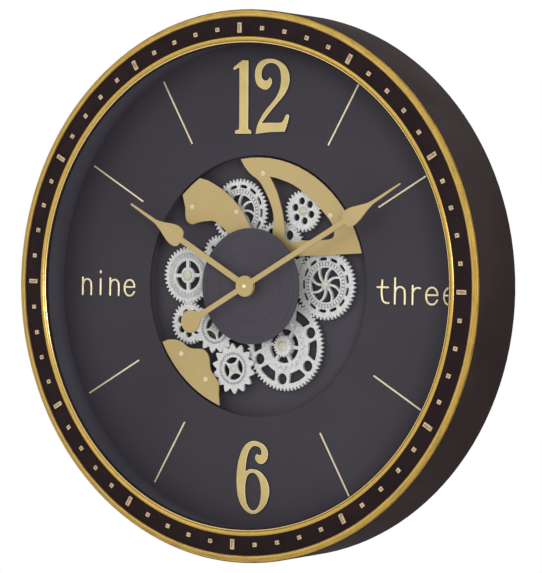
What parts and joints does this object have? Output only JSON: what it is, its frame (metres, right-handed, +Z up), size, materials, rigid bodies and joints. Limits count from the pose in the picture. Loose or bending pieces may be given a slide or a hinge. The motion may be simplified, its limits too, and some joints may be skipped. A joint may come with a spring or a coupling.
{
  "type": "gear wall clock",
  "caption": "Deep round wall clock: gold beaded bezel with a minute track, charcoal dial, and an opening onto a train of turning gear wheels behind the hands.",
  "frame": {"origin": "centre of the hanger plate's round entry hole, on the wall plane", "axes": "+Z up, -Y out of the face towards the viewer, +Y into the wall, +X to the right of a viewer in front"},
  "size_m": [0.6, 0.081, 0.6],
  "materials": {
    "case_paint": "dark brown-black satin paint on a moulded drum",
    "bezel_gold": "antique gold paint, rubbed brown in the grooves",
    "track_brown": "brown-black satin paint",
    "mark_gold": "brushed pale gold",
    "dial_charcoal": "charcoal paint, fine grain",
    "bridge_gold": "satin champagne gold",
    "hand_gold": "satin champagne gold",
    "wheel_silver": "silver-white satin moulding",
    "cap_cream": "cream",
    "axle_steel": "turned steel",
    "screw_steel": "plated screws and plates",
    "movement_black": "black moulding",
    "brass_part": "turned brass",
    "cell_jacket": "plain cell jacket",
    "knob_white": "white moulding"
  },
  "bodies": {
    "clock_body": {"case_drum": "case_paint", "rear_cover": "case_paint", "cover_screws": "screw_steel", "hanger_plate": "screw_steel", "hanger_rivets": "screw_steel", "outer_rim": "bezel_gold", "minute_track": "track_brown", "inner_rim": "bezel_gold", "minute_marks": "mark_gold", "hour_marks": "mark_gold", "inner_wall": "dial_charcoal", "wall_screws": "screw_steel", "dial_plate": "dial_charcoal", "hour_lines": "mark_gold", "numeral_12": "mark_gold", "numeral_6": "mark_gold", "recess_pan": "dial_charcoal", "pan_screws": "screw_steel", "bridge_left": "bridge_gold", "bridge_top": "bridge_gold", "bridge_bottom": "bridge_gold", "bridge_pillars": "brass_part", "bridge_rivets": "cap_cream", "axle_posts": "axle_steel", "axle_caps": "cap_cream", "centre_spacer": "dial_charcoal", "centre_disc": "dial_charcoal", "gear_motor": "axle_steel", "motor_screws": "screw_steel", "movement_case": "movement_black", "movement_bush": "brass_part", "bush_nut": "brass_part", "time_cell": "cell_jacket", "time_contacts": "screw_steel", "cell_box": "movement_black", "gear_cell": "cell_jacket", "gear_contacts": "screw_steel"},
    "main_wheel": {"main_wheel": "wheel_silver", "main_rosette": "wheel_silver", "main_pinion": "wheel_silver"},
    "right_wheel": {"right_wheel": "wheel_silver"},
    "centre_wheel": {"centre_wheel": "wheel_silver"},
    "top_wheel": {"top_wheel": "wheel_silver"},
    "window_wheel": {"window_wheel": "wheel_silver"},
    "idler_wheel": {"idler_wheel": "wheel_silver"},
    "left_wheel": {"left_wheel": "wheel_silver"},
    "lower_wheel": {"lower_wheel": "wheel_silver"},
    "inner_star": {"inner_star_wheel": "wheel_silver", "inner_star_pinion": "wheel_silver"},
    "outer_star": {"outer_star_wheel": "wheel_silver"},
    "motor_pinion": {"motor_pinion": "brass_part"},
    "hour_hand": {"hour_tube": "brass_part", "hour_hand": "hand_gold"},
    "minute_hand": {"minute_arbor": "axle_steel", "minute_hand": "hand_gold", "hand_cap": "hand_gold"},
    "set_knob": {"set_knob": "knob_white"}
  },
  "joints": [
    {"name": "main_wheel_spin", "type": "hinge", "parent": "clock_body", "child": "main_wheel", "pos_m": [0.03507, -0.033, -0.28959], "axis": [0, -1, 0], "continuous": true},
    {"name": "right_wheel_spin", "type": "hinge", "parent": "clock_body", "child": "right_wheel", "pos_m": [0.08619, -0.033, -0.222], "axis": [0, -1, 0], "continuous": true},
    {"name": "centre_wheel_spin", "type": "hinge", "parent": "clock_body", "child": "centre_wheel", "pos_m": [0.02555, -0.033, -0.18754], "axis": [0, -1, 0], "continuous": true},
    {"name": "top_wheel_spin", "type": "hinge", "parent": "clock_body", "child": "top_wheel", "pos_m": [-0.02681, -0.033, -0.14377], "axis": [0, -1, 0], "continuous": true},
    {"name": "window_wheel_spin", "type": "hinge", "parent": "clock_body", "child": "window_wheel", "pos_m": [0.05616, -0.033, -0.14216], "axis": [0, -1, 0], "continuous": true},
    {"name": "idler_wheel_spin", "type": "hinge", "parent": "clock_body", "child": "idler_wheel", "pos_m": [-0.0548, -0.033, -0.18907], "axis": [0, -1, 0], "continuous": true},
    {"name": "left_wheel_spin", "type": "hinge", "parent": "clock_body", "child": "left_wheel", "pos_m": [-0.09605, -0.033, -0.21505], "axis": [0, -1, 0], "continuous": true},
    {"name": "lower_wheel_spin", "type": "hinge", "parent": "clock_body", "child": "lower_wheel", "pos_m": [-0.09298, -0.033, -0.26821], "axis": [0, -1, 0], "continuous": true},
    {"name": "inner_star_spin", "type": "hinge", "parent": "clock_body", "child": "inner_star", "pos_m": [-0.05498, -0.033, -0.27254], "axis": [0, -1, 0], "continuous": true},
    {"name": "outer_star_spin", "type": "hinge", "parent": "clock_body", "child": "outer_star", "pos_m": [-0.02994, -0.033, -0.31661], "axis": [0, -1, 0], "continuous": true},
    {"name": "motor_pinion_spin", "type": "hinge", "parent": "clock_body", "child": "motor_pinion", "pos_m": [0.07345, -0.033, -0.11672], "axis": [0, -1, 0], "continuous": true},
    {"name": "minute_hand_turn", "type": "hinge", "parent": "clock_body", "child": "minute_hand", "pos_m": [0, -0.06, -0.225], "axis": [0, 1, 0], "continuous": true},
    {"name": "hour_hand_turn", "type": "hinge", "parent": "clock_body", "child": "hour_hand", "pos_m": [0, -0.058, -0.225], "axis": [0, 1, 0], "continuous": true},
    {"name": "set_knob_turn", "type": "hinge", "parent": "clock_body", "child": "set_knob", "pos_m": [-0.012, -0.005, -0.239], "axis": [0, 1, 0], "continuous": true}
  ],
  "couplings": [
    {"joint": "right_wheel_spin", "follows": "main_wheel_spin", "ratio": -1.3061},
    {"joint": "centre_wheel_spin", "follows": "main_wheel_spin", "ratio": 1.4545},
    {"joint": "top_wheel_spin", "follows": "main_wheel_spin", "ratio": -1.3617},
    {"joint": "window_wheel_spin", "follows": "main_wheel_spin", "ratio": -2.2069},
    {"joint": "idler_wheel_spin", "follows": "main_wheel_spin", "ratio": 2.6667},
    {"joint": "left_wheel_spin", "follows": "main_wheel_spin", "ratio": -1.561},
    {"joint": "lower_wheel_spin", "follows": "main_wheel_spin", "ratio": 2.1333},
    {"joint": "inner_star_spin", "follows": "main_wheel_spin", "ratio": -3.0476},
    {"joint": "outer_star_spin", "follows": "main_wheel_spin", "ratio": 3.0476},
    {"joint": "motor_pinion_spin", "follows": "main_wheel_spin", "ratio": 5.3333},
    {"joint": "hour_hand_turn", "follows": "minute_hand_turn", "ratio": 0.083333},
    {"joint": "set_knob_turn", "follows": "minute_hand_turn", "ratio": -0.33333}
  ]
}
